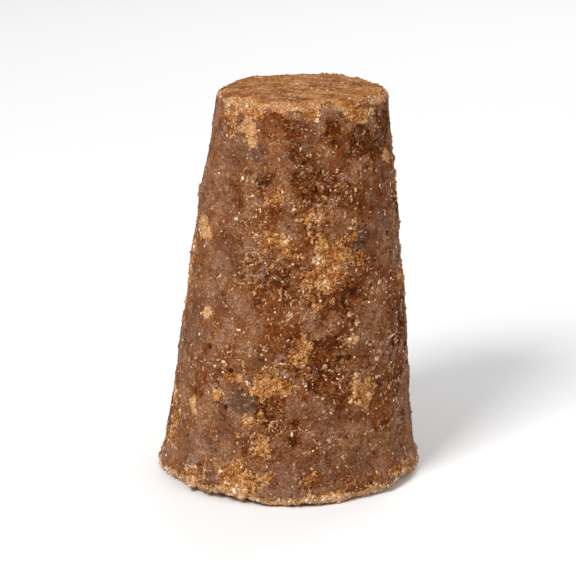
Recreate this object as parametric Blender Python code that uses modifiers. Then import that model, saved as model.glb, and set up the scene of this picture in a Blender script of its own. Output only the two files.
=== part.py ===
"""Piloncillo: a cone of unrefined cane sugar, cast in a mould, standing on its wide end.

The solid is a turned blank (a profile and a Screw modifier) that is then weathered: the wall waves a
little, hollows mark where sugar has crumbled off, lumps stand where some has stuck, and both edges
have chips broken from them. Metres, +Z up, the front of the cone faces -Y. The origin is the centre
of the bounding box's underside, in the flat face that the cone stands on.
"""

import math
import random

import bpy
from mathutils import Vector, noise

# Driving dimensions of the cast cone
HEIGHT = 0.0885
FOOT_RADIUS = 0.0292
TOP_RADIUS = 0.0187
LEAN = 0.0034  # how far the top's centre stands to +X of the foot's
BELLY = 0.0003  # how far the wall swells at half height
LIP = 0.0007  # how far the crumbly lip stands out at the foot
LIP_HEIGHT = 0.0060
TOP_EDGE_ROUND = 0.0022
FOOT_EDGE_ROUND = 0.0016
TOP_CROWN = 0.0004  # how far the middle of the narrow end stands above its edge

# Faceting of the turned blank
SEGMENTS = 92
WALL_RINGS = 38
EDGE_RINGS = 4
TOP_FACE_RINGS = 6
UNDERSIDE_SHARES = (0.95, 0.89, 0.5, 0.0)  # radii of the flat underside's rings, as shares of its edge
AXIS_MERGE = 0.00001

# The wall's waves, as (length, height) in metres, and where in the noise they are read
WAVES = ((0.030, 0.00036), (0.011, 0.00028), (0.0050, 0.00022))
WAVE_SEED = Vector((3.7, 1.9, 8.2))
CRUMBLE = 0.00042  # how far the sugar is crumbled at an edge
CRUMBLE_LENGTH = 0.0034  # the size of its crumbs there
CRUMBLE_REACH = 0.0065  # how far from an edge it fades out
RAGGED_LENGTH = 0.0035  # the raggedness of a hollow's or a lump's outline
RAGGEDNESS = 0.45

# Hollows where sugar has crumbled off: degrees round from the front towards +X, height as a share
# of the whole, half width, half height and depth in metres
HOLLOWS = (
    (-33, 0.92, 0.0022, 0.0034, 0.0003),
    (-10, 0.655, 0.0040, 0.0030, 0.0005),
    (22, 0.60, 0.0050, 0.0065, 0.0007),
    (34, 0.52, 0.0036, 0.0026, 0.0009),
    (-8, 0.305, 0.0046, 0.0034, 0.0006),
    (-21, 0.20, 0.0030, 0.0030, 0.0005),
    (18, 0.36, 0.0052, 0.0060, 0.0009),
    (-16, 0.09, 0.0052, 0.0036, 0.0006),
    (-45, 0.05, 0.0080, 0.0026, 0.0004),
    (112, 0.70, 0.0060, 0.0045, 0.0008),
    (150, 0.34, 0.0070, 0.0080, 0.0009),
    (-140, 0.55, 0.0058, 0.0070, 0.0008),
    (-100, 0.24, 0.0050, 0.0040, 0.0006),
    (-165, 0.86, 0.0050, 0.0036, 0.0006),
)

# Lumps of sugar stuck to the wall and the foot, in the same terms, with how far they stand proud
LUMPS = (
    (-62, 0.655, 0.0026, 0.0040, 0.0003),
    (-74, 0.045, 0.0042, 0.0030, 0.0006),
    (-28, 0.030, 0.0040, 0.0020, 0.0004),
    (8, 0.035, 0.0036, 0.0022, 0.0004),
    (52, 0.045, 0.0040, 0.0028, 0.0006),
    (76, 0.045, 0.0034, 0.0026, 0.0003),
    (128, 0.040, 0.0046, 0.0028, 0.0007),
    (-152, 0.045, 0.0050, 0.0030, 0.0006),
    (96, 0.38, 0.0040, 0.0050, 0.0004),
    (-118, 0.80, 0.0036, 0.0044, 0.0004),
)

# Where the foot's lip stands off the table: degrees round from the front towards +X, half the
# stretch in degrees, and the gap in metres
LIFTED_LIPS = (
    (-44, 30, 0.0013),
    (112, 24, 0.0009),
    (-158, 20, 0.0007),
)
LIFT_REACH = 0.0038  # how far in under the foot the gap runs

# Chips broken from the edges: how many, and the least and most width and depth of each
TOP_CHIPS = {"count": 12, "seed": 4, "width": (0.0022, 0.0062), "depth": (0.0001, 0.0006)}
FOOT_CHIPS = {"count": 15, "seed": 27, "width": (0.0022, 0.0064), "depth": (0.0001, 0.0010)}
CHIP_SLOPE = (28, 66)  # the fractures' least and most slope, in degrees from the vertical
CHIP_SKEW = 14  # how far a fracture turns from square to the edge, in degrees
CHIP_SCATTER = 0.8  # how far a chip strays from its even place, as a share of the spacing

SUGAR_COLOUR = (0.262, 0.110, 0.046, 1.0)
SUGAR_ROUGHNESS = 0.62


def clear_scene():
    for obj in list(bpy.data.objects):
        bpy.data.objects.remove(obj, do_unlink=True)


def smooth(share):
    """0 to 1 with no corner at either end."""
    share = min(1.0, max(0.0, share))
    return share * share * (3 - 2 * share)


def wall_radius(height):
    """The blank's radius at a height: the mould's taper, its slight swell, and the lip at the foot."""
    share = height / HEIGHT
    taper = FOOT_RADIUS + (TOP_RADIUS - FOOT_RADIUS) * share
    swell = BELLY * math.sin(math.pi * share)
    return taper + swell + LIP * smooth(1 - height / LIP_HEIGHT)


def edge_arc(radius, height, rounding, start, end):
    """Points round a circle of the rounding's radius, from one angle to another in degrees."""
    points = []
    for step in range(EDGE_RINGS + 1):
        angle = math.radians(start + (end - start) * step / EDGE_RINGS)
        points.append((radius + rounding * math.cos(angle), height + rounding * math.sin(angle)))
    return points


def blank_profile():
    """Half the cone's outline, from the middle of the top, down the wall, to the middle of the foot."""
    top_of_wall = HEIGHT - TOP_CROWN - TOP_EDGE_ROUND
    top_centre = wall_radius(top_of_wall) - TOP_EDGE_ROUND
    foot_centre = wall_radius(FOOT_EDGE_ROUND) - FOOT_EDGE_ROUND
    points = []
    for ring in range(TOP_FACE_RINGS):
        share = ring / TOP_FACE_RINGS
        points.append((top_centre * share, HEIGHT - TOP_CROWN * share**2))
    points += edge_arc(top_centre, top_of_wall, TOP_EDGE_ROUND, 90, 5)
    for ring in range(1, WALL_RINGS):
        height = top_of_wall + (FOOT_EDGE_ROUND - top_of_wall) * ring / WALL_RINGS
        points.append((wall_radius(height), height))
    points += edge_arc(foot_centre, FOOT_EDGE_ROUND, FOOT_EDGE_ROUND, 0, -90)
    points += [(foot_centre * share, 0.0) for share in UNDERSIDE_SHARES]
    return points


def turned_blank(name):
    """The profile turned about Z by a Screw modifier, as a mesh of its own."""
    points = blank_profile()
    profile = bpy.data.meshes.new("profile")
    edges = [(i, i + 1) for i in range(len(points) - 1)]
    profile.from_pydata([(radius, 0.0, height) for radius, height in points], edges, [])
    guide = bpy.data.objects.new("profile", profile)
    bpy.context.scene.collection.objects.link(guide)
    screw = guide.modifiers.new("Screw", "SCREW")
    screw.axis = "Z"
    screw.steps = SEGMENTS
    screw.render_steps = SEGMENTS
    screw.use_merge_vertices = True
    screw.merge_threshold = AXIS_MERGE
    evaluated = guide.evaluated_get(bpy.context.evaluated_depsgraph_get())
    mesh = bpy.data.meshes.new_from_object(evaluated)
    bpy.data.objects.remove(guide, do_unlink=True)
    mesh.name = name
    return mesh


def outward(angle, slope=0.0):
    """The direction that faces out at an angle round from the front, tipped up by a slope."""
    return Vector((math.sin(angle) * math.cos(slope), -math.cos(angle) * math.cos(slope), math.sin(slope)))


def patch_height(point, patches):
    """The most that any of the patches reaches at a point, each fading out at a ragged outline."""
    highest = 0.0
    for angle, share, half_width, half_height, height in patches:
        turn = math.radians(angle)
        centre = outward(turn) * wall_radius(share * HEIGHT) + Vector((0, 0, share * HEIGHT))
        away = point - centre
        if away.length > 2.5 * max(half_width, half_height):
            continue
        around = away.dot(Vector((math.cos(turn), math.sin(turn), 0)))
        reach = math.hypot(around / half_width, away.z / half_height)
        reach += RAGGEDNESS * noise.noise(point / RAGGED_LENGTH)
        highest = max(highest, height * smooth(1.6 - reach))
    return highest


def waviness(point):
    """How far the wall stands proud at a point, from waves of several lengths."""
    return sum(height * noise.noise(point / length + WAVE_SEED) for length, height in WAVES)


def crumble(point):
    """How far crumbs stand out or are missing at a point, which they do only near the two edges."""
    from_wall = wall_radius(point.z) - math.hypot(point.x, point.y)
    from_edge = math.hypot(from_wall, min(point.z, HEIGHT - point.z))
    return CRUMBLE * smooth(1 - from_edge / CRUMBLE_REACH) * noise.noise(point / CRUMBLE_LENGTH)


def lip_gap(point):
    """How far the foot's lip stands off the table at a point."""
    inward = FOOT_RADIUS + LIP - math.hypot(point.x, point.y)
    near = smooth(1.2 - inward / LIFT_REACH) * smooth(1 - point.z / LIP_HEIGHT)
    round_front = math.degrees(math.atan2(point.x, -point.y))
    gap = 0.0
    for angle, stretch, height in LIFTED_LIPS:
        off = abs((round_front - angle + 180) % 360 - 180) / stretch
        gap = max(gap, height * smooth(1.5 - off))
    return gap * near


def chip_planes(chips, radius, height, faces_up):
    """Chips scattered round an edge of the given radius and height. Each is a point in its fracture
    plane, the plane's outward normal, the place on the edge that it is centred on, and its width."""
    chance = random.Random(chips["seed"])
    planes = []
    for number in range(chips["count"]):
        stray = chance.uniform(-CHIP_SCATTER, CHIP_SCATTER)
        turn = 2 * math.pi * (number + stray) / chips["count"]
        slope = math.radians(chance.uniform(*CHIP_SLOPE)) * (1 if faces_up else -1)
        skew = math.radians(chance.uniform(-CHIP_SKEW, CHIP_SKEW))
        normal = outward(turn + skew, slope)
        edge = outward(turn) * radius + Vector((0, 0, height))
        depth = chance.uniform(*chips["depth"])
        planes.append((edge - normal * depth, normal, edge, chance.uniform(*chips["width"])))
    return planes


def knock_off(point, planes):
    """Moves a point that stands outside a chip's fracture back onto it, less so at the chip's ends."""
    for on_plane, normal, edge, width in planes:
        beyond = (point - on_plane).dot(normal)
        if beyond > 0:
            point = point - normal * beyond * smooth(1.5 - (point - edge).length / width)
    return point


def edge_chips():
    """The fracture planes of the top edge and of the foot. The corner of a rounded edge stands in
    from the unrounded one by 0.3 of the rounding each way."""
    top_corner = HEIGHT - TOP_CROWN - TOP_EDGE_ROUND * 0.3
    top = chip_planes(TOP_CHIPS, wall_radius(top_corner) - TOP_EDGE_ROUND * 0.3, top_corner, True)
    foot_corner = FOOT_EDGE_ROUND * 0.3
    foot = chip_planes(FOOT_CHIPS, wall_radius(foot_corner) - foot_corner, foot_corner, False)
    return top, foot


def weather(mesh):
    """Gives the turned blank its real unevenness. The middle of the underside stays flat, at height 0."""
    top_chips, foot_chips = edge_chips()
    normals = [vertex.normal.copy() for vertex in mesh.vertices]
    for vertex, normal in zip(mesh.vertices, normals):
        point = vertex.co.copy()
        on_underside = normal.z < -0.999
        if not on_underside:
            proud = waviness(point) + crumble(point)
            proud += patch_height(point, LUMPS) - patch_height(point, HOLLOWS)
            point += normal * proud
        point.z += lip_gap(point)
        point = knock_off(point, top_chips if point.z > HEIGHT / 2 else foot_chips)
        point.z = max(0.0, point.z)
        point.x += LEAN * point.z / HEIGHT
        vertex.co = point


def centre_on_base(mesh):
    """Slides the mesh so that the origin is the centre of its bounding box's underside."""
    for axis in (0, 1):
        values = [vertex.co[axis] for vertex in mesh.vertices]
        middle = (min(values) + max(values)) / 2
        for vertex in mesh.vertices:
            vertex.co[axis] -= middle


def sugar_material():
    material = bpy.data.materials.new("unrefined_sugar")
    material.use_nodes = True
    shader = material.node_tree.nodes["Principled BSDF"]
    shader.inputs["Base Color"].default_value = SUGAR_COLOUR
    shader.inputs["Roughness"].default_value = SUGAR_ROUGHNESS
    shader.inputs["Metallic"].default_value = 0.0
    return material


def sugar_cone():
    mesh = turned_blank("sugar_cone")
    weather(mesh)
    centre_on_base(mesh)
    mesh.materials.clear()
    mesh.materials.append(sugar_material())
    mesh.shade_smooth()
    cone = bpy.data.objects.new("sugar_cone", mesh)
    collection = bpy.data.collections.new("piloncillo")
    bpy.context.scene.collection.children.link(collection)
    collection.objects.link(cone)
    return cone


clear_scene()
sugar_cone()
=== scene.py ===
"""Piloncillo: a cone of unrefined cane sugar, standing on its wide end on a pale table."""

import math
from itertools import product

import bpy
import numpy as np
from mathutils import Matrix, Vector


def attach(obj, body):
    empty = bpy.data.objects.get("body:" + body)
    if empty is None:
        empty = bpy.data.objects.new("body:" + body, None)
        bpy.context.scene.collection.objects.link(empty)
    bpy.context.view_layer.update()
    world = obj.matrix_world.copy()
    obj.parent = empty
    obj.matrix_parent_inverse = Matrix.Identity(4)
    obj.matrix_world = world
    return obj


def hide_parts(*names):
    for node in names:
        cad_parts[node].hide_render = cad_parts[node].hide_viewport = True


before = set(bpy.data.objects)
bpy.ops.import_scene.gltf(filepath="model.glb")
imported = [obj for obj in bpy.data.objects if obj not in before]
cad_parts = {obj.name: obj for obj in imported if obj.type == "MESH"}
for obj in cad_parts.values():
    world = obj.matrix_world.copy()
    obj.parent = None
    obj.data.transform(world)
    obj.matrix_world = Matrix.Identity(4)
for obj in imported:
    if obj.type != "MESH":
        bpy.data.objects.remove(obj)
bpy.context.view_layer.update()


# The table and the light. The cone stands on a matt white board that runs out of sight, under a big
# soft lamp from the front left, a weaker one from the right, one from behind, and a white room.

CAMERA_BACK = 0.455
CAMERA_UP = 0.172
CAMERA_LENS = 130
AIM_UP = 0.0418
BOARD_RADIUS = 4.0
BOARD_DROP = 0.00005
BOARD_COLOUR = (0.90, 0.90, 0.90, 1)
ROOM_LIGHT = 0.42
LAMPS_AIM = (0, 0, 0.04)

# name, place, width and height in metres, power in watts
LAMPS = (
    ("key_lamp", (-0.55, -0.75, 0.85), 0.40, 0.40, 14.0),
    ("fill_lamp", (0.80, -0.50, 0.50), 0.60, 0.60, 2.2),
    ("back_lamp", (0.25, 0.85, 0.75), 0.80, 0.50, 4.0),
)


def look_at(thing, target):
    """Turns a camera or a lamp to face a point."""
    way = Vector(target) - thing.location
    thing.rotation_euler = way.to_track_quat("-Z", "Y").to_euler()


def set_the_table():
    """Camera, lamps, white room and board."""
    scene = bpy.context.scene
    scene.view_settings.view_transform = "Standard"
    scene.view_settings.look = "None"

    camera = bpy.data.objects.new("camera", bpy.data.cameras.new("camera"))
    camera.location = (0, -CAMERA_BACK, CAMERA_UP)
    camera.data.lens = CAMERA_LENS
    camera.data.sensor_width = 36
    camera.data.clip_start = 0.01
    camera.data.clip_end = 50
    look_at(camera, (0, 0, AIM_UP))
    scene.collection.objects.link(camera)
    scene.camera = camera

    for name, place, width, height, watts in LAMPS:
        lamp = bpy.data.lights.new(name, "AREA")
        lamp.shape = "RECTANGLE"
        lamp.size = width
        lamp.size_y = height
        lamp.energy = watts
        holder = bpy.data.objects.new(name, lamp)
        holder.location = place
        look_at(holder, LAMPS_AIM)
        scene.collection.objects.link(holder)

    room = bpy.data.worlds.new("white_room")
    room.use_nodes = True
    room.node_tree.nodes["Background"].inputs["Color"].default_value = (1, 1, 1, 1)
    room.node_tree.nodes["Background"].inputs["Strength"].default_value = ROOM_LIGHT
    scene.world = room

    bpy.ops.mesh.primitive_circle_add(vertices=128, radius=BOARD_RADIUS, fill_type="NGON")
    board = bpy.context.object
    board.name = "pale_board"
    board.location.z = -BOARD_DROP
    paint = bpy.data.materials.new("matt_white_board")
    paint.use_nodes = True
    shader = paint.node_tree.nodes["Principled BSDF"]
    shader.inputs["Base Color"].default_value = BOARD_COLOUR
    shader.inputs["Roughness"].default_value = 0.85
    shader.inputs["Specular IOR Level"].default_value = 0.1
    board.data.materials.append(paint)


set_the_table()


# The cone itself, one piece of cane juice boiled down and cast in a wooden mould. Its wall keeps a
# thin brown skin from the mould. Where the skin has crumbled off, and at both edges, the golden
# grain of the sugar shows, and where the syrup set slowly the skin is smooth and grey-brown.

MM = 1000.0  # millimetres in a metre
SKIN_MESH = 0.00048  # the size of the fine mesh's cells, in metres
HEIGHT = 88.5  # in millimetres, as are all the sizes that follow
FOOT_RADIUS = 29.2
TOP_RADIUS = 18.7
LEAN = 3.4  # how far towards +X the middle of the top lies from the middle of the foot

# Each patch: degrees round from the front towards +X, share of the height, half width and half
# height in millimetres, and how many degrees it is turned on the wall
PATCHES = {
    "golden": (
        (-6, 0.655, 3.4, 2.8, 0),
        (-9, 0.305, 4.4, 3.0, 0),
        (-17, 0.205, 3.0, 2.7, 0),
        (-18, 0.062, 5.8, 3.2, 0),
        (-10, 0.148, 1.7, 3.2, -15),
        (-42, 0.040, 3.6, 1.8, 0),
        (-36, 0.270, 1.2, 1.0, 0),
        (-8, 0.768, 2.8, 1.9, 0),
        (-27, 0.315, 2.2, 0.9, 15),
        (-79, 0.57, 1.5, 4.6, 0),
        (-82, 0.43, 1.4, 4.0, 0),
        (-70, 0.12, 1.6, 5.0, 0),
        (8, 0.39, 1.6, 2.2, 0),
        (24, 0.60, 4.4, 5.2, -20),
        (14, 0.72, 1.4, 1.4, 0),
        (62, 0.035, 5.0, 1.8, 0),
        (22, 0.020, 4.0, 1.4, 0),
        (13, 0.075, 0.9, 0.7, 30),
        (40, 0.27, 2.4, 3.2, 25),
        (-50, 0.945, 3.0, 2.2, 0),
        (-33, 0.965, 2.4, 1.6, 0),
        (10, 0.970, 1.4, 1.6, 4),
        (44, 0.965, 3.4, 1.6, 0),
    ),
    "pale": (
        (-31, 0.925, 1.9, 2.9, 15),
        (-61, 0.66, 2.9, 3.2, 0),
        (-47, 0.455, 1.9, 1.6, 0),
        (-52, 0.214, 1.2, 1.4, 30),
        (-20, 0.312, 2.2, 0.9, 5),
        (-17, 0.216, 1.8, 1.2, 0),
        (36, 0.41, 1.5, 1.7, 0),
    ),
    "grey": (
        (-20, 0.255, 3.7, 2.9, 0),
        (-24, 0.87, 1.7, 1.9, 0),
        (41, 0.655, 2.2, 2.6, 20),
    ),
    # dark sugar, and painted shadow under the rim and below golden patches
    "dark": (
        (-8, 0.236, 4.8, 6.6, 0),
        (-1, 0.920, 1.9, 4.4, 0),
        (27, 0.935, 2.2, 3.8, 0),
        (60, 0.88, 7.0, 5.0, 0),
        (19, 0.365, 4.6, 5.0, 0),
        (33, 0.52, 3.4, 3.0, 0),
        (-5, 0.575, 2.4, 3.0, 0),
        (-17, 0.80, 2.0, 1.6, 0),
        (12, 0.80, 3.0, 3.0, 0),
    ),
    "ashen": (
        (2, 0.085, 6.0, 3.2, 0),
        (28, 0.095, 8.0, 4.6, 0),
        (52, 0.68, 4.0, 7.0, 0),
        (-27, 0.178, 5.2, 4.4, 20),
        (-57, 0.40, 3.2, 4.6, 0),
        (-40, 0.60, 3.0, 3.6, -10),
        (-14, 0.352, 2.0, 1.8, 0),
        (9, 0.915, 2.2, 4.6, 0),
        (-38, 0.86, 3.4, 3.0, 0),
        (24, 0.20, 5.0, 4.0, 0),
    ),
    "amber": (
        (-18, 0.915, 3.8, 4.6, 0),
        (28, 0.890, 4.4, 6.0, 0),
        (-6, 0.205, 6.6, 7.0, 0),
        (-31, 0.375, 3.4, 2.2, 0),
        (-5, 0.44, 3.8, 4.6, 0),
        (-9, 0.54, 3.8, 5.0, 0),
        (-12, 0.72, 4.0, 3.4, 0),
        (-50, 0.30, 2.6, 4.6, 0),
        (20, 0.37, 8.5, 9.0, 0),
        (36, 0.54, 9.0, 8.0, 0),
        (60, 0.84, 9.0, 9.0, 0),
        (14, 0.78, 6.0, 6.0, 0),
        (46, 0.24, 8.0, 6.0, 20),
        (64, 0.48, 6.5, 9.0, 0),
        (9, 0.63, 4.6, 5.0, 0),
        (38, 0.74, 6.0, 5.0, -20),
        (36, 0.030, 12.0, 3.0, 0),
    ),
    "rough": (
        (-18, 0.77, 6.0, 5.0, 0),
        (-34, 0.76, 4.0, 4.0, 0),
        (-11, 0.58, 3.6, 5.0, 0),
        (-44, 0.51, 2.2, 2.2, 0),
        (-38, 0.66, 3.6, 2.0, 0),
        (-18, 0.31, 9.5, 4.5, -10),
        (-12, 0.19, 6.0, 6.0, 0),
        (-30, 0.05, 12.0, 3.0, 0),
        (20, 0.78, 8.0, 5.0, 0),
        (25, 0.55, 9.0, 9.0, 0),
        (30, 0.33, 8.0, 7.0, 0),
        (62, 0.30, 7.0, 9.0, 0),
    ),
}
# The rest of the wall: how many patches, and the least and most half width and half height
FAR_PATCHES = {
    "golden": (19, (1.6, 5.0), (1.5, 4.8)),
    "pale": (10, (0.9, 2.1), (0.9, 2.5)),
    "grey": (8, (1.5, 3.2), (1.5, 3.0)),
    "dark": (12, (2.2, 5.4), (2.2, 5.4)),
    "ashen": (14, (2.2, 5.4), (2.2, 5.4)),
    "amber": (16, (2.6, 6.4), (2.6, 6.4)),
    "rough": (15, (3.0, 9.0), (3.0, 8.0)),
}
FAR_SIDE = (72, 288)  # degrees round from the front, the part of the wall that they are on
FAR_SEED = 20
EDGE_SECTOR = 4  # degrees
STEADY = {"grey": 0.32, "pale": 0.9}  # the kinds whose outlines are less ragged


CELLS_FROM = 137.3  # cells are counted from far below the cone, so that none has a number below 0


def cell_number(cells, salt):
    """A number from 0 to 1 for each whole-number cell, always the same one."""
    with np.errstate(over="ignore"):
        mixed = cells[..., 0].astype(np.uint32) * np.uint32(0x9E3779B1)
        mixed ^= cells[..., 1].astype(np.uint32) * np.uint32(0x85EBCA77)
        mixed ^= cells[..., 2].astype(np.uint32) * np.uint32(0xC2B2AE3D)
        mixed ^= np.uint32((salt * 0x27D4EB2F) & 0xFFFFFFFF)
        for shift, factor in ((15, 0x2C1B3C6D), (12, 0x297A2D39), (15, 0x9E3779B1)):
            mixed ^= mixed >> np.uint32(shift)
            mixed *= np.uint32(factor)
        mixed ^= mixed >> np.uint32(16)
    return mixed / 2.0**32


def rolling(spots, length, salt):
    """Smooth random relief from -1 to 1, with bumps about as wide as the length."""
    cells = spots / length + CELLS_FROM
    base = np.floor(cells)
    part = cells - base
    part = part * part * part * (part * (part * 6 - 15) + 10)
    base = base.astype(np.int64)
    total = np.zeros(len(spots))
    for corner in product((0, 1), repeat=3):
        share = np.prod(np.where(corner, part, 1 - part), axis=1)
        total += share * cell_number(base + corner, salt)
    return total * 2 - 1


GRANULES_FROM = 91.7  # the same for the grain's own cells


def granules(spots, size, salt):
    """The sugar's grain: how far each spot is from the middle of its nearest grain, as a share of
    the grain's size, and that grain's own number from 0 to 1."""
    cells = spots / size + GRANULES_FROM
    base = np.floor(cells).astype(np.int64)
    nearest = np.full(len(spots), 9.0)
    number = np.zeros(len(spots))
    for step in product((-1, 0, 1), repeat=3):
        cell = base + step
        middle = np.stack([cell_number(cell, salt + axis) for axis in (1, 2, 3)], axis=1)
        away = np.linalg.norm(cell + middle - cells, axis=1)
        closer = away < nearest
        nearest = np.where(closer, away, nearest)
        number = np.where(closer, cell_number(cell, salt), number)
    return nearest, number


def ramp(value, low, high):
    """0 below the low value, 1 above the high one, and smooth between."""
    share = np.clip((value - low) / (high - low), 0, 1)
    return share * share * (3 - 2 * share)


def near_to(values, middle, reach):
    """1 where a value is at the middle one, down to 0 that far from it."""
    return np.clip(1 - np.abs(values - middle) / reach, 0, 1)


def far_patches(kind):
    """Patches of one kind scattered over the sides and the back."""
    count, widths, heights = FAR_PATCHES[kind]
    chance = np.random.default_rng(FAR_SEED + len(kind) + count)
    patches = []
    for number in range(count):
        angle = FAR_SIDE[0] + (FAR_SIDE[1] - FAR_SIDE[0]) * (number + chance.random()) / count
        share = chance.uniform(0.06, 0.95)
        turn = chance.uniform(-45, 45)
        patches.append((angle, share, chance.uniform(*widths), chance.uniform(*heights), turn))
    return patches


def on_the_wall(spots):
    """Degrees round from the front towards +X, how far in from the unworn wall, and the radius of
    that wall, at each spot."""
    axis = LEAN * spots[:, 2] / HEIGHT - LEAN / 2
    round_front = np.degrees(np.arctan2(spots[:, 0] - axis, -spots[:, 1]))
    radius = FOOT_RADIUS + (TOP_RADIUS - FOOT_RADIUS) * spots[:, 2] / HEIGHT
    return round_front, radius - np.hypot(spots[:, 0] - axis, spots[:, 1]), radius


FLAKE_WIDTH = 4.4
FLAKE_BEND = 0.8  # how far a flake's outline strays, in bends half as wide as the flake


def flake_number(spots):
    """A number from 0 to 1 for each of the flat flakes that the sugar breaks along."""
    bend = np.stack([rolling(spots, FLAKE_WIDTH / 2, salt) for salt in (91, 92, 93)], axis=1)
    return granules(spots + FLAKE_BEND * bend, FLAKE_WIDTH, 94)[1]


def patch_field(spots, patches, raggedness):
    """1 inside a patch, 0 outside, 0.5 on its outline, which is ragged."""
    round_front, _, radius = on_the_wall(spots)
    field = np.zeros(len(spots))
    for angle, share, half_width, half_height, turn in patches:
        around = np.radians((round_front - angle + 180) % 360 - 180) * radius
        up = spots[:, 2] - share * HEIGHT
        cos = math.cos(math.radians(turn))
        sin = math.sin(math.radians(turn))
        sideways = (around * cos + up * sin) / half_width
        upwards = (up * cos - around * sin) / half_height
        field = np.maximum(field, 0.5 + 0.75 * (1 - np.hypot(sideways, upwards)) + raggedness)
    return np.clip(field, 0, 1)


def foot_edge(spots, facing):
    """How high the edge of the foot stands off the table, at the angle of each spot."""
    sector = ((on_the_wall(spots)[0] + 180) // EDGE_SECTOR).astype(int)
    lowest = np.full(360 // EDGE_SECTOR + 1, 9.0)
    outer = facing[:, 2] > -0.5
    np.minimum.at(lowest, sector[outer], spots[outer, 2])
    return lowest[sector]


# How far the crumbled grain reaches from the rim and from the foot's edge, and how tall the lip is
TOP_BAND = 1.9
FOOT_BAND = 2.2
LIP_BAND = 1.5


def sugar_fields(spots, facing):
    """What the sugar is like at each spot, by name, each from 0 to 1: the kinds of patches, the
    flat top, the underside, the rounded rim, the foot's lip, and how high the flake stands."""
    large = rolling(spots, 6.0, 11)
    middling = rolling(spots, 2.6, 12)
    small = rolling(spots, 1.3, 13)
    ragged = 0.34 * large + 0.50 * middling + 0.55 * small
    _, inward, _ = on_the_wall(spots)
    from_top = np.hypot(np.maximum(inward, 0), HEIGHT - spots[:, 2])
    from_foot = spots[:, 2] - foot_edge(spots, facing)
    high_up = ramp(spots[:, 2], HEIGHT - 5, HEIGHT - 3)
    rounded = near_to(facing[:, 2], 0.55, 0.50) * high_up
    on_top = ramp(facing[:, 2], 0.55, 0.9) * high_up
    under = ramp(-facing[:, 2], 0.55, 0.9) * ramp(-spots[:, 2], -4, -2)
    wall = 1 - np.maximum(on_top, under)
    fields = {}
    for kind, front in PATCHES.items():
        outline = ragged * STEADY.get(kind, 1.0)
        fields[kind] = patch_field(spots, list(front) + far_patches(kind), outline) * wall
    fields["rough"] = ramp(fields["rough"] + 0.35 * large + 0.25 * middling, 0.25, 0.75) * wall
    top_gold = np.clip(1.10 - from_top / TOP_BAND + 0.60 * ragged, 0, 1)
    foot_gold = np.clip(0.85 - from_foot / FOOT_BAND + 0.9 * ragged, 0, 1)
    foot_gold *= 1 - 0.5 * under
    fields["golden"] = np.maximum(fields["golden"], np.maximum(top_gold, foot_gold))
    fields["rim"] = np.clip(1.6 * rounded - 0.45 + 0.70 * ragged, 0, 1) * (rounded > 0)
    fields["lip"] = np.clip(1.15 - from_foot / LIP_BAND + 0.6 * ragged, 0, 1) * (1 - under)
    fields["top"] = on_top
    fields["under"] = under
    broken = ramp(fields["golden"], 0.3, 0.6)
    fields["grey"] *= 1 - ramp(fields["golden"], 0.5, 0.7)
    fields["dark"] *= 1 - broken
    flaked = np.maximum(np.maximum(fields["amber"], fields["dark"]), 0.7 * fields["rough"])
    flaked *= (1 - fields["grey"]) * (1 - 0.6 * broken) * wall
    fields["flake"] = 0.5 + (flake_number(spots) - 0.5) * (0.35 * wall + 0.65 * flaked)
    return fields


# How wide the grains, lumps and pits are, and how far each kind of sugar stands out or in
GRANULE_WIDTH = 1.25
LUMP_WIDTH = 1.55
SMALL_LUMP_WIDTH = 0.95
WIDE_PIT = 2.4
SMALL_PIT = 1.2
PIT_DEPTH = 0.42
PIT_RIM = 0.20
GOLDEN_DEPTH = 0.30
DARK_DEPTH = 0.50
PALE_RISE = 0.15
LIP_RISE = 0.40
FLAKE_STEP = 0.40


def weathered(spots, fields):
    """How far the surface stands out at each spot, in millimetres, how much of that is grain, and
    how deep in a pit the spot is, from 0 to 1."""
    golden = ramp(fields["golden"], 0.42, 0.56)
    pale = ramp(fields["pale"], 0.42, 0.56)
    grey = ramp(fields["grey"], 0.35, 0.6)
    dark = ramp(fields["dark"], 0.3, 0.7)
    rough = fields["rough"] * (1 - golden) * (1 - pale) * (1 - grey)
    flat = fields["top"]
    lip = ramp(fields["lip"], 0.4, 0.7)
    even = np.maximum(0.75 * flat, 0.7 * ramp(spots[:, 2], HEIGHT - 7, HEIGHT - 2))
    even = np.maximum(even, 0.6 * lip)
    skin = 0.15 * rolling(spots, 4.6, 21) + 0.10 * rolling(spots, 2.2, 22)
    near, number = granules(spots, GRANULE_WIDTH, 31)
    crumbs = 0.26 * (0.55 - near) + 0.24 * (number - 0.5)
    fine = 0.06 * rolling(spots, 0.85, 23) + 0.05 * rolling(spots, 1.5, 24)
    near, number = granules(spots, LUMP_WIDTH, 41)
    lumps = 0.42 * (0.6 - near) + 0.40 * (number - 0.5)
    near, number = granules(spots, SMALL_LUMP_WIDTH, 51)
    lumps += 0.34 * (0.55 - near) + 0.26 * (number - 0.5)
    near, number = granules(spots, WIDE_PIT, 61)
    opened = (number < 0.035 + 0.36 * rough + 0.14 * golden) * (1 - flat)
    wide_pit = ramp(-near, -0.34, -0.16) * opened
    rim = ramp(near, 0.26, 0.38) * ramp(-near, -0.58, -0.46) * opened * (1 - pale)
    grain = fine * (1 - 0.5 * grey) + crumbs * rough + golden * lumps * (1 - even) + PIT_RIM * rim
    height = skin * (1 - 0.6 * flat) + grain - GOLDEN_DEPTH * golden * (1 - flat)
    height = height - DARK_DEPTH * dark + PALE_RISE * pale
    height += LIP_RISE * lip + FLAKE_STEP * (fields["flake"] - 0.5)
    near, number = granules(spots, SMALL_PIT, 71)
    pit = ramp(-near, -0.38, -0.20) * (number < 0.045 + 0.22 * golden + 0.22 * rough + 0.10 * dark)
    pit = np.maximum(pit, wide_pit) * (1 - 0.8 * grey) * (1 - 0.9 * pale) * (1 - even)
    return height - PIT_DEPTH * pit, grain, pit


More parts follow.
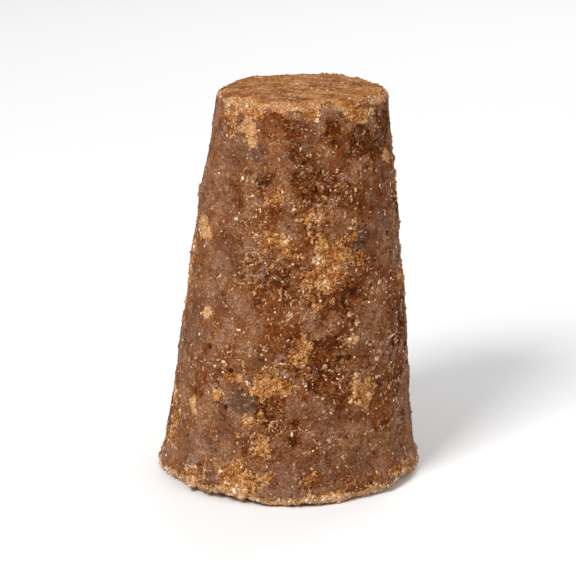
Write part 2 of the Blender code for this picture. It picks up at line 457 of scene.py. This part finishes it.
def plain_copy(node, name):
    """A CAD node as a new piece, remeshed finely enough to hold the grain."""
    piece = bpy.data.objects.new(name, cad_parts[node].data.copy())
    bpy.context.scene.collection.objects.link(piece)
    remesh = piece.modifiers.new("fine mesh", "REMESH")
    remesh.mode = "VOXEL"
    remesh.voxel_size = SKIN_MESH
    ease = piece.modifiers.new("ease", "SMOOTH")
    ease.factor = 0.5
    ease.iterations = 6
    evaluated = piece.evaluated_get(bpy.context.evaluated_depsgraph_get())
    mesh = bpy.data.meshes.new_from_object(evaluated)
    piece.modifiers.clear()
    piece.data = mesh
    return piece


def numbers(items, what, width, kind=np.float32):
    """One property of a mesh's vertices, corners or faces, as an array with a row for each."""
    found = np.empty(len(items) * width, kind)
    items.foreach_get(what, found)
    found = found.reshape(-1, width) if width > 1 else found
    return found if kind is np.int32 else found.astype(float)


def keep_on_mesh(mesh, name, values):
    """Stores a number for each vertex, which the material reads by its name."""
    attribute = mesh.attributes.new(name, "FLOAT", "POINT")
    attribute.data.foreach_set("value", values.astype(np.float32))


SHEET_MARGIN = 0.01
WALL_ON_SHEET = 0.55  # how much of the map's height the wall takes
END_ON_SHEET = 0.40  # how much of its width each end takes
TOP_ON_SHEET = (0.24, 0.79)
FOOT_ON_SHEET = (0.74, 0.79)


def unroll(mesh, spots):
    """The map that the cone's looks are kept on: its wall unrolled over the lower part, and its two
    ends side by side above it."""
    corner = numbers(mesh.loops, "vertex_index", 1, np.int32)
    corners_each = numbers(mesh.polygons, "loop_total", 1, np.int32)
    face = np.repeat(np.arange(len(mesh.polygons)), corners_each)
    tilt = numbers(mesh.polygons, "normal", 3)[face, 2]
    middle = numbers(mesh.polygons, "center", 3)[face] * MM
    x, y, z = spots[corner].T
    turn = np.arctan2(x - (LEAN * z / HEIGHT - LEAN / 2), -y) / (2 * math.pi) + 0.5
    home = np.arctan2(middle[:, 0] - (LEAN * middle[:, 2] / HEIGHT - LEAN / 2), -middle[:, 1])
    home = home / (2 * math.pi) + 0.5
    turn += np.round(home - turn)
    turn = SHEET_MARGIN + (1 - 2 * SHEET_MARGIN) * turn
    wall = np.stack([turn, SHEET_MARGIN + WALL_ON_SHEET * z / HEIGHT], axis=1)
    scale = END_ON_SHEET / (2.1 * FOOT_RADIUS)
    top = np.stack([TOP_ON_SHEET[0] + x * scale, TOP_ON_SHEET[1] + y * scale], axis=1)
    foot = np.stack([FOOT_ON_SHEET[0] + x * scale, FOOT_ON_SHEET[1] + y * scale], axis=1)
    is_top = (tilt > 0.5) & (middle[:, 2] > HEIGHT - 5)
    is_foot = (tilt < -0.5) & (middle[:, 2] < 4)
    place = np.where(is_top[:, None], top, np.where(is_foot[:, None], foot, wall))
    sheet = mesh.uv_layers.new(name="OFBake")
    sheet.uv.foreach_set("vector", place.astype(np.float32).ravel())


SOLE = 0.35  # what faces down below this height is the flat underside
LEAST_RISE = 0.02  # how far all the rest stays above the table

body = plain_copy("sugar_cone", "sugar_body")
spots = numbers(body.data.vertices, "co", 3) * MM
facing = numbers(body.data.vertices, "normal", 3)
fields = sugar_fields(spots, facing)
height, grain, pit = weathered(spots, fields)
flat_foot = (spots[:, 2] < SOLE) & (facing[:, 2] < -0.8)
spots += facing * np.where(flat_foot, 0, height)[:, None]
spots[:, 2] = np.where(flat_foot, 0, np.maximum(spots[:, 2], LEAST_RISE))
body.data.vertices.foreach_set("co", (spots / MM).astype(np.float32).ravel())
for name, values in fields.items():
    keep_on_mesh(body.data, name, values)
keep_on_mesh(body.data, "pit", pit)
keep_on_mesh(body.data, "tint", 0.5 + 0.65 * (fields["flake"] - 0.5))
# How far the grain stands out, which the material turns into painted shade in the low places and
# painted light on the raised ones.
keep_on_mesh(body.data, "stand", np.clip(0.5 + 1.4 * grain * (1 - 0.8 * fields["under"]), 0, 1))
body.data.shade_smooth()
body.data.update()
facing = numbers(body.data.vertices, "normal", 3)
unroll(body.data, spots)


def rgb(red, green, blue):
    """A colour named by its 0 to 255 parts, as a linear one."""
    return tuple((part / 255) ** 2.2 for part in (red, green, blue)) + (1,)


class Bench:
    """A node tree with short ways to lay and join nodes."""

    def __init__(self, tree):
        self.tree = tree

    def lay(self, kind, inputs=(), **settings):
        """A new node, with its inputs joined or set and its settings made."""
        node = self.tree.nodes.new(kind)
        for name, value in settings.items():
            setattr(node, name, value)
        for socket, value in dict(inputs).items():
            self.put(node.inputs[socket], value)
        return node

    def put(self, socket, value):
        """Joins a socket to the one it is fed by, or sets its value."""
        if isinstance(value, bpy.types.NodeSocket):
            self.tree.links.new(value, socket)
        else:
            socket.default_value = value

    def reckon(self, operation, *values):
        """Sums, products and the like, of sockets and plain numbers."""
        node = self.lay("ShaderNodeMath", operation=operation)
        for socket, value in zip(node.inputs, values):
            self.put(socket, value)
        return node.outputs[0]

    def some(self, mask, part):
        """A mask, weakened to a part of its strength."""
        return self.reckon("MULTIPLY", mask, part)

    def between(self, value, low, high, to_low=0.0, to_high=1.0):
        """Value as a share of the way from low to high, smooth at both ends."""
        node = self.lay("ShaderNodeMapRange", interpolation_type="SMOOTHSTEP")
        for socket, part in zip(node.inputs, (value, low, high, to_low, to_high)):
            self.put(socket, part)
        return node.outputs[0]

    def blend(self, share, below, above, kind="MIX"):
        """One colour laid over another, as far as the share says."""
        node = self.lay("ShaderNodeMix", data_type="RGBA", blend_type=kind, clamp_factor=True)
        for socket, value in ((0, share), (6, below), (7, above)):
            self.put(node.inputs[socket], value)
        return node.outputs[2]

    def noise(self, where, size, detail=2.0, roughness=0.5):
        """Noise whose bumps are about that many millimetres wide."""
        node = self.lay("ShaderNodeTexNoise")
        for socket, value in (("Vector", where), ("Scale", MM / size), ("Detail", detail)):
            self.put(node.inputs[socket], value)
        node.inputs["Roughness"].default_value = roughness
        return node.outputs["Fac"]

    def read(self, name):
        """A number that is kept on the mesh."""
        return self.lay("ShaderNodeAttribute", attribute_name=name).outputs["Fac"]


GRAIN_BEND = 0.6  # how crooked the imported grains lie, as a share of their size


def grain_group():
    """Shader group: packed sugar grain of one size. Tone and Hue are two numbers of each grain's
    own, from 0 to 1, and Height is its rounded top, 1 at its middle and 0 in the gaps."""
    group = bpy.data.node_groups.new("packed_grain", "ShaderNodeTree")
    face = group.interface
    face.new_socket("Place", in_out="INPUT", socket_type="NodeSocketVector")
    face.new_socket("Size", in_out="INPUT", socket_type="NodeSocketFloat").default_value = 0.5
    for name in ("Tone", "Hue", "Height"):
        face.new_socket(name, in_out="OUTPUT", socket_type="NodeSocketFloat")
    bench = Bench(group)
    given = bench.lay("NodeGroupInput").outputs
    place, size = given["Place"], given["Size"]
    out = bench.lay("NodeGroupOutput")
    scale = bench.reckon("DIVIDE", MM, size)
    bend = bench.lay("ShaderNodeTexNoise", {"Vector": place, "Scale": scale, "Detail": 1.5})
    pull = bench.lay("ShaderNodeVectorMath", operation="SUBTRACT")
    bench.put(pull.inputs[0], bend.outputs["Color"])
    pull.inputs[1].default_value = (0.5, 0.5, 0.5)
    reach = bench.reckon("MULTIPLY", size, GRAIN_BEND / MM)
    bent = bench.lay("ShaderNodeVectorMath", operation="MULTIPLY_ADD")
    bench.put(bent.inputs[0], pull.outputs[0])
    reach = bench.lay("ShaderNodeCombineXYZ", {0: reach, 1: reach, 2: reach})
    bench.put(bent.inputs[1], reach.outputs[0])
    bench.put(bent.inputs[2], place)
    grains = bench.lay("ShaderNodeTexVoronoi", {"Vector": bent.outputs[0], "Scale": scale})
    own = bench.lay("ShaderNodeSeparateColor", {"Color": grains.outputs["Color"]}).outputs
    bench.put(out.inputs["Tone"], own[0])
    bench.put(out.inputs["Hue"], own[1])
    bench.put(out.inputs["Height"], bench.between(grains.outputs["Distance"], 0.85, 0.15))
    return group


PACKED_GRAIN = grain_group()


FLAKELET = 1.7  # how wide the small flakes of the skin are, in millimetres
CROOK = 1.2  # how wide the crooks in their outlines are, and how far they go


def flake_group():
    """Shader group: the thin crooked lines where flakes of the skin end. Edge is 1 on a line. Most
    of each flake's outline is closed, so only short stretches show."""
    group = bpy.data.node_groups.new("flake_edges", "ShaderNodeTree")
    face = group.interface
    face.new_socket("Place", in_out="INPUT", socket_type="NodeSocketVector")
    face.new_socket("Edge", in_out="OUTPUT", socket_type="NodeSocketFloat")
    bench = Bench(group)
    place = bench.lay("NodeGroupInput").outputs["Place"]
    out = bench.lay("NodeGroupOutput")
    bend = bench.lay("ShaderNodeTexNoise", {"Vector": place, "Scale": MM / CROOK, "Detail": 2.0})
    bent = bench.lay("ShaderNodeVectorMath", operation="MULTIPLY_ADD")
    bench.put(bent.inputs[0], bend.outputs["Color"])
    bent.inputs[1].default_value = (CROOK / MM, CROOK / MM, CROOK / MM)
    bench.put(bent.inputs[2], place)
    flakes = bench.lay(
        "ShaderNodeTexVoronoi",
        {"Vector": bent.outputs[0], "Scale": MM / FLAKELET},
        feature="DISTANCE_TO_EDGE",
    )
    line = bench.between(flakes.outputs["Distance"], 0.10, 0.04)
    opened = bench.between(bench.noise(place, 1.5, 1.0), 0.57, 0.63)
    bench.put(out.inputs["Edge"], bench.reckon("MULTIPLY", line, opened))
    return group


FLAKE_EDGES = flake_group()


def grain_of(bench, place, size):
    """Packed grain of one size, in millimetres: its tone, its hue and its height."""
    node = bench.lay("ShaderNodeGroup", node_tree=PACKED_GRAIN)
    bench.put(node.inputs["Place"], place)
    bench.put(node.inputs["Size"], size)
    return node.outputs["Tone"], node.outputs["Hue"], node.outputs["Height"]


def new_material(name):
    """A material, and the bench to lay its nodes on."""
    material = bpy.data.materials.new(name)
    material.use_nodes = True
    return Bench(material.node_tree), material


SKIN = rgb(138, 94, 65)
SKIN_GREY = rgb(125, 87, 65)
SKIN_WARM = rgb(122, 74, 43)
SKIN_LIGHT = rgb(174, 132, 97)
SMOOTH_GREY = rgb(92, 65, 49)
ASHEN = rgb(114, 79, 60)
AMBER = rgb(115, 63, 27)
SPECK_ORANGE = rgb(172, 108, 54)
SPECK_GREY = rgb(112, 90, 74)
GOLD = rgb(190, 132, 76)
GOLD_DEEP = rgb(162, 100, 45)
GOLD_TIP = rgb(224, 188, 152)
TAN = rgb(200, 152, 104)
TAN_EVEN = rgb(192, 142, 94)
TOP_TAN = rgb(182, 124, 70)
TOP_BROWN = rgb(140, 84, 42)
LIP_PALE = rgb(200, 156, 116)
RIM_PALE = rgb(206, 158, 110)
# The dark patches: sugar darkened by syrup, and painted shadow under the rim and below golden
# patches
MOLASSES_AND_SHADOW = rgb(84, 41, 15)
SYRUP_AND_SHADOW = rgb(144, 84, 38)
# Dark specks of the grain, and painted shade in the pits
DARK_SPECK_AND_PIT_SHADE = rgb(64, 29, 11)
FLAKE = rgb(200, 152, 106)

# How fast red, green and blue are lost where syrup makes the sugar darker
SOAK = (0.56, 1.00, 1.60)


def soaked(bench, colour, factor):
    """A colour made lighter or darker by a factor that changes over the surface. Syrup takes blue
    first and red last, so dark places are redder, and light ones paler."""
    shares = [bench.reckon("POWER", factor, power) for power in SOAK]
    tint = bench.lay("ShaderNodeCombineColor", dict(enumerate(shares)))
    return bench.blend(1.0, colour, tint.outputs[0], "MULTIPLY")


def sugar_pattern(bench):
    """What the sugar's colour is mixed by: soft noises from wide to fine, grains of three sizes,
    and what the mesh says of how far each spot stands out and of its own tint."""
    place = bench.lay("ShaderNodeTexCoord").outputs["Object"]
    pattern = {
        "place": place,
        "wide": bench.noise(place, 8.0, 3.0),
        "cloudy": bench.noise(place, 4.4, 2.0, 0.5),
        "middling": bench.noise(place, 3.0, 3.0, 0.6),
        "fine": bench.noise(place, 1.1, 3.0, 0.65),
        "fray": bench.reckon("SUBTRACT", bench.noise(place, 0.9, 3.0, 0.6), 0.5),
        # how far the sugar stands out, for the painted shade and light of its relief
        "stand": bench.read("stand"),
        "tint": bench.read("tint"),
    }
    pattern["clump"], _, pattern["clump_height"] = grain_of(bench, place, 1.15)
    pattern["tone"], pattern["hue"], pattern["height"] = grain_of(bench, place, 0.48)
    pattern["speck"], pattern["pepper"], _ = grain_of(bench, place, 0.30)
    return pattern


# Each kind of sugar: how far its outline frays, and the values of its field where it begins and
# where it is whole
OUTLINES = {
    "golden": (1.4, 0.44, 0.56),
    "pale": (1.5, 0.44, 0.56),
    "grey": (0.9, 0.30, 0.66),
    "dark": (1.2, 0.24, 0.64),
    "ashen": (1.2, 0.30, 0.66),
    "amber": (1.4, 0.24, 0.76),
    "lip": (0.8, 0.42, 0.60),
    "rim": (1.6, 0.40, 0.70),
    "top": (0.3, 0.44, 0.56),
}


def sugar_masks(bench, pattern):
    """Where each kind of sugar shows, where flakes end, and where it is busy, from 0 to 1."""
    masks = {}
    for kind, (fraying, low, high) in OUTLINES.items():
        frayed = bench.reckon("MULTIPLY_ADD", pattern["fray"], fraying, bench.read(kind))
        masks[kind] = bench.between(frayed, low, high)
    edges = bench.lay("ShaderNodeGroup", {"Place": pattern["place"]}, node_tree=FLAKE_EDGES)
    gaps = bench.between(pattern["speck"], 0.25, 0.45)
    edge = bench.reckon("MULTIPLY", edges.outputs["Edge"], gaps)
    bare = bench.reckon("MAXIMUM", masks["golden"], masks["pale"])
    masks["flake"] = bench.reckon("MULTIPLY", edge, bench.reckon("SUBTRACT", 1.0, bare))
    rough = bench.some(bench.read("rough"), 0.8)
    busy = bench.reckon("MAXIMUM", rough, bench.some(masks["golden"], 0.7))
    masks["busy"] = bench.reckon("MAXIMUM", busy, bench.some(masks["dark"], 0.5))
    return masks


def skin_colour(bench, pattern, masks):
    """The skin: its clouds, its dark patches of syrup-dark sugar and painted shadow under the rim
    and below golden patches, odd grains and flakes' edges.
    """
    colour = bench.blend(bench.between(pattern["wide"], 0.42, 0.60), SKIN, SKIN_GREY)
    warm = bench.some(bench.between(pattern["middling"], 0.50, 0.66), 0.8)
    colour = bench.blend(warm, colour, SKIN_WARM)
    light = bench.some(bench.between(pattern["fine"], 0.54, 0.70), 0.40)
    colour = bench.blend(light, colour, SKIN_LIGHT)
    colour = bench.blend(bench.some(masks["ashen"], 0.75), colour, ASHEN)
    colour = bench.blend(bench.some(masks["amber"], 0.86), colour, AMBER)
    # Dark patches: syrup-dark sugar, and painted shadow under the rim and below golden patches
    syrup = bench.some(bench.between(pattern["speck"], 0.70, 0.90), 0.7)
    dark = bench.some(masks["dark"], 0.88)
    colour = bench.blend(dark, colour, bench.blend(syrup, MOLASSES_AND_SHADOW, SYRUP_AND_SHADOW))
    orange = bench.some(bench.between(pattern["hue"], 0.80, 0.95), 0.30)
    colour = bench.blend(orange, colour, SPECK_ORANGE)
    grey = bench.some(bench.between(pattern["hue"], 0.20, 0.05), 0.45)
    colour = bench.blend(grey, colour, SPECK_GREY)
    colour = bench.blend(bench.some(masks["grey"], 0.90), colour, SMOOTH_GREY)
    return bench.blend(bench.some(masks["flake"], 0.60), colour, FLAKE)


def bare_colour(bench, pattern, masks, colour):
    """Over the skin, the grain that lies bare: the flat top, the golden and pale patches, the lip
    of the foot, and the rim."""
    top = bench.blend(bench.between(pattern["middling"], 0.36, 0.60), TOP_BROWN, TOP_TAN)
    colour = bench.blend(bench.some(masks["top"], 0.90), colour, top)
    # The gold is darker in its low places, as painted shade, and pale on its raised tips, as
    # painted light, mixed with the clumps' and specks' own tones.
    rise = bench.reckon("MULTIPLY_ADD", pattern["clump"], 0.20, bench.some(pattern["stand"], 0.55))
    rise = bench.reckon("MULTIPLY_ADD", pattern["speck"], 0.25, rise)
    gold = bench.blend(bench.between(rise, 0.22, 0.50), GOLD_DEEP, GOLD)
    gold = bench.blend(bench.between(rise, 0.62, 0.90), gold, GOLD_TIP)
    golden = bench.reckon("MULTIPLY", masks["golden"], bench.reckon("SUBTRACT", 1.0, masks["top"]))
    colour = bench.blend(golden, colour, gold)
    tan = bench.blend(bench.between(pattern["fine"], 0.34, 0.50), GOLD, TAN)
    colour = bench.blend(masks["pale"], colour, tan)
    colour = bench.blend(bench.some(masks["lip"], 0.8), colour, LIP_PALE)
    rim = bench.blend(bench.between(pattern["speck"], 0.2, 0.6), GOLD, RIM_PALE)
    return bench.blend(bench.some(masks["rim"], 0.8), colour, rim)


# How each pattern shades the sugar: the values that it is read between, the least and the most that
# it multiplies the colour by where the sugar is calm, and the same where it is busy. Two rows are
# painted light and shade: the one read from how far the sugar stands out, and the grain's height
# row, darken the low places and the gaps between grains and lighten what stands out. The rest are
# the sugar's own tones.
SHADES = {
    "cloudy": (0.34, 0.66, 0.72, 1.26, 0.64, 1.34),
    "speck": (0.0, 1.0, 0.70, 1.28, 0.66, 1.32),
    "tone": (0.0, 1.0, 0.88, 1.12, 0.78, 1.22),
    "clump": (0.0, 1.0, 0.91, 1.09, 0.82, 1.18),
    # painted shade in the gaps between the grains, painted light on their rounded tops
    "height": (0.0, 0.7, 0.84, 1.03, 0.74, 1.05),
    # painted shade in the low places of the relief, painted light on its raised grain
    "stand": (0.05, 0.95, 0.74, 1.18, 0.52, 1.32),
    "tint": (0.0, 1.0, 0.76, 1.24, 0.70, 1.36),
}


def shaded(bench, pattern, masks, colour):
    """The colour with all the patterns' shades, among them painted shade in the low places and
    painted light on the raised grain, dark specks in the grain, and painted shade in its pits.
    """
    factor = 1.0
    for name, (low, high, calm_least, calm_most, busy_least, busy_most) in SHADES.items():
        least = bench.between(masks["busy"], 0.0, 1.0, calm_least, busy_least)
        most = bench.between(masks["busy"], 0.0, 1.0, calm_most, busy_most)
        shade = bench.between(pattern[name], low, high, least, most)
        factor = bench.reckon("MULTIPLY", factor, shade)
    colour = soaked(bench, colour, factor)
    colour = bench.blend(bench.some(masks["pale"], 0.30), colour, TAN_EVEN)
    peppered = bench.reckon("MULTIPLY_ADD", masks["golden"], -0.40, 0.60)
    peppered = bench.some(bench.between(pattern["pepper"], 0.955, 0.985), peppered)
    colour = bench.blend(peppered, colour, DARK_SPECK_AND_PIT_SHADE)
    # painted shade in the pits
    return bench.blend(bench.some(bench.read("pit"), 0.85), colour, DARK_SPECK_AND_PIT_SHADE)


def cast_sugar():
    """The sugar of the cone and of its crumbs: matt, with a glint on a few grains."""
    bench, material = new_material("cast_sugar")
    pattern = sugar_pattern(bench)
    masks = sugar_masks(bench, pattern)
    colour = skin_colour(bench, pattern, masks)
    colour = bare_colour(bench, pattern, masks, colour)
    colour = shaded(bench, pattern, masks, colour)
    shader = bench.tree.nodes["Principled BSDF"]
    bench.put(shader.inputs["Base Color"], colour)
    shader.inputs["Roughness"].default_value = 0.75
    shader.inputs["Specular IOR Level"].default_value = 0.04
    bench.put(shader.inputs["Coat Weight"], bench.between(pattern["tone"], 0.82, 0.92, 0.0, 0.4))
    shader.inputs["Coat Roughness"].default_value = 0.35
    relief = bench.reckon("MULTIPLY_ADD", pattern["clump_height"], 1.2, pattern["height"])
    flaky = bench.reckon("MULTIPLY_ADD", masks["flake"], 1.2, bench.some(pattern["tone"], 0.8))
    relief = bench.reckon("ADD", relief, flaky)
    bump = bench.lay("ShaderNodeBump", {"Strength": 0.8, "Distance": 0.00022, "Height": relief})
    bench.put(shader.inputs["Normal"], bump.outputs[0])
    return material


CAST_SUGAR = cast_sugar()
body.data.materials.clear()
body.data.materials.append(CAST_SUGAR)
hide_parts("sugar_cone")
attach(body, "root")


# Crumbs, clumps of a few grains that the sugar breaks into. They stick out of the wall where its
# skin is rough, and thickest where the skin is gone, of the same sugar as what they stand on.

CRUMB_COUNT = 11000
CRUMB_SEED = 3
CRUMB_SHAPE = (0.70, 0.30, 0.76, 0.62)  # usual length, its spread, width and depth as shares of it


def grain_spots(count, seed, weight):
    """Places on the body for grains, thicker where the weight is higher: each place, the way that
    the surface faces there, and the vertex whose fields it takes."""
    chance = np.random.default_rng(seed)
    mesh = body.data
    mesh.calc_loop_triangles()
    corners = numbers(mesh.loop_triangles, "vertices", 3, np.int32)
    a, b, c = (spots[corners[:, number]] for number in range(3))
    area = np.linalg.norm(np.cross(b - a, c - a), axis=1) / 2
    likely = area * weight[corners].mean(axis=1)
    chosen = chance.choice(len(corners), count, p=likely / likely.sum())
    first, second = chance.random((2, count))
    over = first + second > 1
    first = np.where(over, 1 - first, first)
    second = np.where(over, 1 - second, second)
    shares = np.stack([1 - first - second, first, second], axis=1)
    three = corners[chosen]
    place = (spots[three] * shares[..., None]).sum(axis=1)
    normal = (facing[three] * shares[..., None]).sum(axis=1)
    normal /= np.linalg.norm(normal, axis=1, keepdims=True)
    return place, normal, three[:, 0], chance


def unit(vectors):
    """Each vector at length 1."""
    return vectors / np.maximum(np.linalg.norm(vectors, axis=1, keepdims=True), 1e-9)


CUBE_CORNERS = np.array(list(product((-0.5, 0.5), repeat=3)))
CUBE_SIDES = (0, 1, 3, 2), (4, 6, 7, 5), (0, 4, 5, 1), (2, 3, 7, 6), (0, 2, 6, 4), (1, 5, 7, 3)
GRAIN_SKEW = 0.20  # how far a grain's corners stray, as a share of its size
GRAIN_TILT = 0.22  # how far grains lean out of the surface
# Crumbs read as sugar a little above the middle of the relief, so they get a touch of painted
# light, as raised grain does.
GRAIN_RELIEF_LIGHT_SHADE = 0.6  # a grain's colour is that of sugar which stands out this far, from 0 to 1


def grains(name, place, normal, along, home, sizes, sunk, tint, chance):
    """One mesh of many grains, each a skewed block with its long side along the surface. It has the
    fields of the spot that it grows from, and a tint of its own."""
    count = len(place)
    up = unit(normal + chance.normal(scale=GRAIN_TILT, size=(count, 3)))
    along = unit(along - up * (along * up).sum(axis=1, keepdims=True))
    across = np.cross(up, along)
    skew = chance.uniform(-GRAIN_SKEW, GRAIN_SKEW, (count, 8, 3))
    local = (CUBE_CORNERS + skew) * sizes[:, None, :]
    middle = place + normal * (sizes[:, 2] * (0.5 - sunk))[:, None]
    points = middle[:, None, :] + local @ np.stack([along, across, up], axis=1)
    points[..., 2] = np.maximum(points[..., 2], 0.0)
    mesh = bpy.data.meshes.new(name)
    mesh.vertices.add(count * 8)
    mesh.vertices.foreach_set("co", (points / MM).astype(np.float32).ravel())
    faces = (np.array(CUBE_SIDES) + 8 * np.arange(count)[:, None, None]).reshape(-1, 4)
    mesh.loops.add(faces.size)
    mesh.loops.foreach_set("vertex_index", faces.astype(np.int32).ravel())
    mesh.polygons.add(len(faces))
    mesh.polygons.foreach_set("loop_start", np.arange(0, faces.size, 4, dtype=np.int32))
    mesh.update(calc_edges=True)
    for field, values in fields.items():
        keep_on_mesh(mesh, field, np.repeat(values[home], 8))
    keep_on_mesh(mesh, "pit", np.zeros(count * 8))
    keep_on_mesh(mesh, "stand", np.full(count * 8, GRAIN_RELIEF_LIGHT_SHADE))
    keep_on_mesh(mesh, "tint", np.repeat(tint, 8))
    lay_out(mesh, count)
    piece = bpy.data.objects.new(name, mesh)
    bpy.context.scene.collection.objects.link(piece)
    return piece


SQUARE_MARGIN = 0.12


def lay_out(mesh, count):
    """The map that the grains' looks are kept on: one small square for each grain, and in it one
    place for each of its six faces."""
    rows = math.ceil(math.sqrt(count))
    grain_number, face_number = np.divmod(np.arange(count * 6), 6)
    left = (grain_number % rows + (face_number % 3) / 3) / rows
    low = (grain_number // rows + (face_number // 3) / 2) / rows
    near, far = SQUARE_MARGIN, 1 - SQUARE_MARGIN
    corner = np.array(((near, near), (far, near), (far, far), (near, far))) / (3 * rows, 2 * rows)
    place = np.stack([left, low], axis=1)[:, None, :] + corner
    sheet = mesh.uv_layers.new(name="OFBake")
    sheet.uv.foreach_set("vector", place.astype(np.float32).ravel())


def block_sizes(usual, spread, width, depth, count, chance):
    """Length, width and depth of each grain. Width and depth are shares of the length."""
    length = usual * np.exp(chance.normal(scale=spread, size=count))
    across = length * width * chance.uniform(0.75, 1.25, count)
    return np.stack([length, across, length * depth * chance.uniform(0.8, 1.2, count)], axis=1)


in_sight = 1 - fields["under"]
broken = ramp(fields["golden"], 0.40, 0.55)
smooth = np.maximum(ramp(fields["grey"], 0.4, 0.6), ramp(fields["pale"], 0.4, 0.6))
weight = in_sight * (0.03 + 0.30 * fields["rough"] ** 2 + 0.9 * broken + 0.1 * fields["top"])
weight *= (1 - 0.8 * smooth) * (1 - 0.7 * ramp(fields["dark"], 0.3, 0.6))
near_top = ramp(spots[:, 2], HEIGHT - 7, HEIGHT - 3)
weight *= (1 - 0.4 * near_top) * (1 - 0.6 * fields["lip"]) * (1 - 0.85 * pit)
place, normal, home, chance = grain_spots(CRUMB_COUNT, CRUMB_SEED, weight)
along = np.cross(normal, chance.normal(size=place.shape))
sizes = block_sizes(*CRUMB_SHAPE, CRUMB_COUNT, chance)
sizes *= (0.72 + 0.28 * broken[home] - 0.25 * near_top[home])[:, None]
sunk = 0.84 - 0.12 * broken[home]
tint = chance.random(CRUMB_COUNT)
crumbs = grains("crumbs", place, normal, along, home, sizes, sunk, tint, chance)
crumbs.data.materials.append(CAST_SUGAR)
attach(crumbs, "root")


# Pale crystals, the biggest and cleanest grains of the sugar, which stand half out of the skin.
# They lie flat in strings along the edges of crumbled places, thickest along the cone's two lips.

PALE_COUNT = 9500
PALE_SEED = 5
PALE_TRIED = 8  # places tried for each crystal, of which those near a string are mostly kept
PALE_SHAPE = (0.39, 0.34, 0.62, 0.46)  # as the crumbs' shape
PALE_LONGEST = 0.85
PALE_DEEPEST = 0.24
CLOTS = 100  # clots of several crystals that have grown together
CLOT_OF = 8
CLOT_WIDTH = 0.27
STRING_BEND = 2.4  # how tightly the strings wind, and how far off them crystals lie, in millimetres
STRING_WIDTH = 0.20
PROBE = 0.1  # how far to either side the slope towards a string is felt
CRYSTAL_BROWN = rgb(158, 108, 68)
CRYSTAL_TAN = rgb(190, 144, 102)
CRYSTAL_CREAM = rgb(232, 204, 170)


def string_line(places):
    """0 on the lines that the strings follow, and how far to either side of them elsewhere."""
    return rolling(places, STRING_BEND, 81)


def pale_crystal():
    """Clean sugar. Each grain has its own tint, between three colours."""
    bench, material = new_material("pale_crystal")
    place = bench.lay("ShaderNodeTexCoord").outputs["Object"]
    tint = bench.read("tint")
    colour = bench.blend(bench.between(tint, 0.0, 0.7), CRYSTAL_BROWN, CRYSTAL_TAN)
    colour = bench.blend(bench.between(tint, 0.80, 1.0), colour, CRYSTAL_CREAM)
    cloud = bench.noise(place, 0.35, 2.0, 0.6)
    colour = soaked(bench, colour, bench.between(cloud, 0.3, 0.7, 0.84, 1.14))
    shader = bench.tree.nodes["Principled BSDF"]
    bench.put(shader.inputs["Base Color"], colour)
    bench.put(shader.inputs["Roughness"], bench.between(cloud, 0.3, 0.7, 0.50, 0.30))
    shader.inputs["Specular IOR Level"].default_value = 0.5
    bump = bench.lay("ShaderNodeBump", {"Strength": 0.5, "Distance": 0.00008, "Height": cloud})
    bench.put(shader.inputs["Normal"], bump.outputs[0])
    return material


stringy = ramp(rolling(spots, 5.0, 82) + 0.7 * fields["rough"], 0.15, 0.75)
edge = near_to(fields["golden"], 0.45, 0.14) * (1 - fields["lip"])
ends = fields["lip"] + 0.8 * fields["rim"] + 0.3 * fields["top"]
weight = in_sight * (0.12 + stringy + 0.9 * edge + 0.5 * fields["pale"] + ends)
weight *= (1 - 0.90 * ramp(fields["grey"], 0.4, 0.6)) * (1 - 0.6 * pit)
place, normal, home, chance = grain_spots(PALE_TRIED * PALE_COUNT, PALE_SEED, weight)
slopes = [string_line(place + step) - string_line(place - step) for step in PROBE * np.eye(3)]
slope = np.stack(slopes, axis=1) / (2 * PROBE)
off_line = np.abs(string_line(place)) / np.maximum(np.linalg.norm(slope, axis=1), 0.1)
on_string = np.exp(-((off_line / STRING_WIDTH) ** 2))
loose = 0.03 + 0.5 * fields["lip"] + 0.4 * fields["rim"] + 0.4 * fields["pale"] + 0.25 * edge
likely = np.maximum(on_string, loose[home])
chosen = chance.choice(len(place), PALE_COUNT, replace=False, p=likely / likely.sum())
place, normal, home = place[chosen], normal[chosen], home[chosen]
slope, on_string = slope[chosen], on_string[chosen]
along = np.cross(normal, np.where(on_string[:, None] > 0.2, slope, chance.normal(size=place.shape)))
sizes = block_sizes(*PALE_SHAPE, PALE_COUNT, chance)
sizes *= (1 - 0.35 * fields["top"][home])[:, None]
sizes *= np.minimum(1, PALE_LONGEST / sizes[:, :1])
sizes[:, 2] = np.minimum(sizes[:, 2], PALE_DEEPEST)
tint = chance.random(PALE_COUNT)
likely = 0.15 + edge[home] + 0.5 * fields["lip"][home]
leader = chance.choice(PALE_COUNT, CLOTS, replace=False, p=likely / likely.sum())
member = chance.choice(PALE_COUNT, (CLOTS, CLOT_OF), replace=False)
apart = chance.normal(scale=CLOT_WIDTH, size=(CLOTS, CLOT_OF, 3))
out = (apart * normal[leader][:, None, :]).sum(axis=2, keepdims=True)
apart += (0.15 * np.abs(out) - out) * normal[leader][:, None, :]
place[member] = place[leader][:, None, :] + apart
normal[member] = normal[leader][:, None, :]
home[member] = home[leader][:, None]
tint[member] = chance.uniform(0.5, 0.95, (CLOTS, 1))
pale_crystals = grains("pale_crystals", place, normal, along, home, sizes, 0.5, tint, chance)
pale_crystals.data.materials.append(pale_crystal())
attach(pale_crystals, "root")
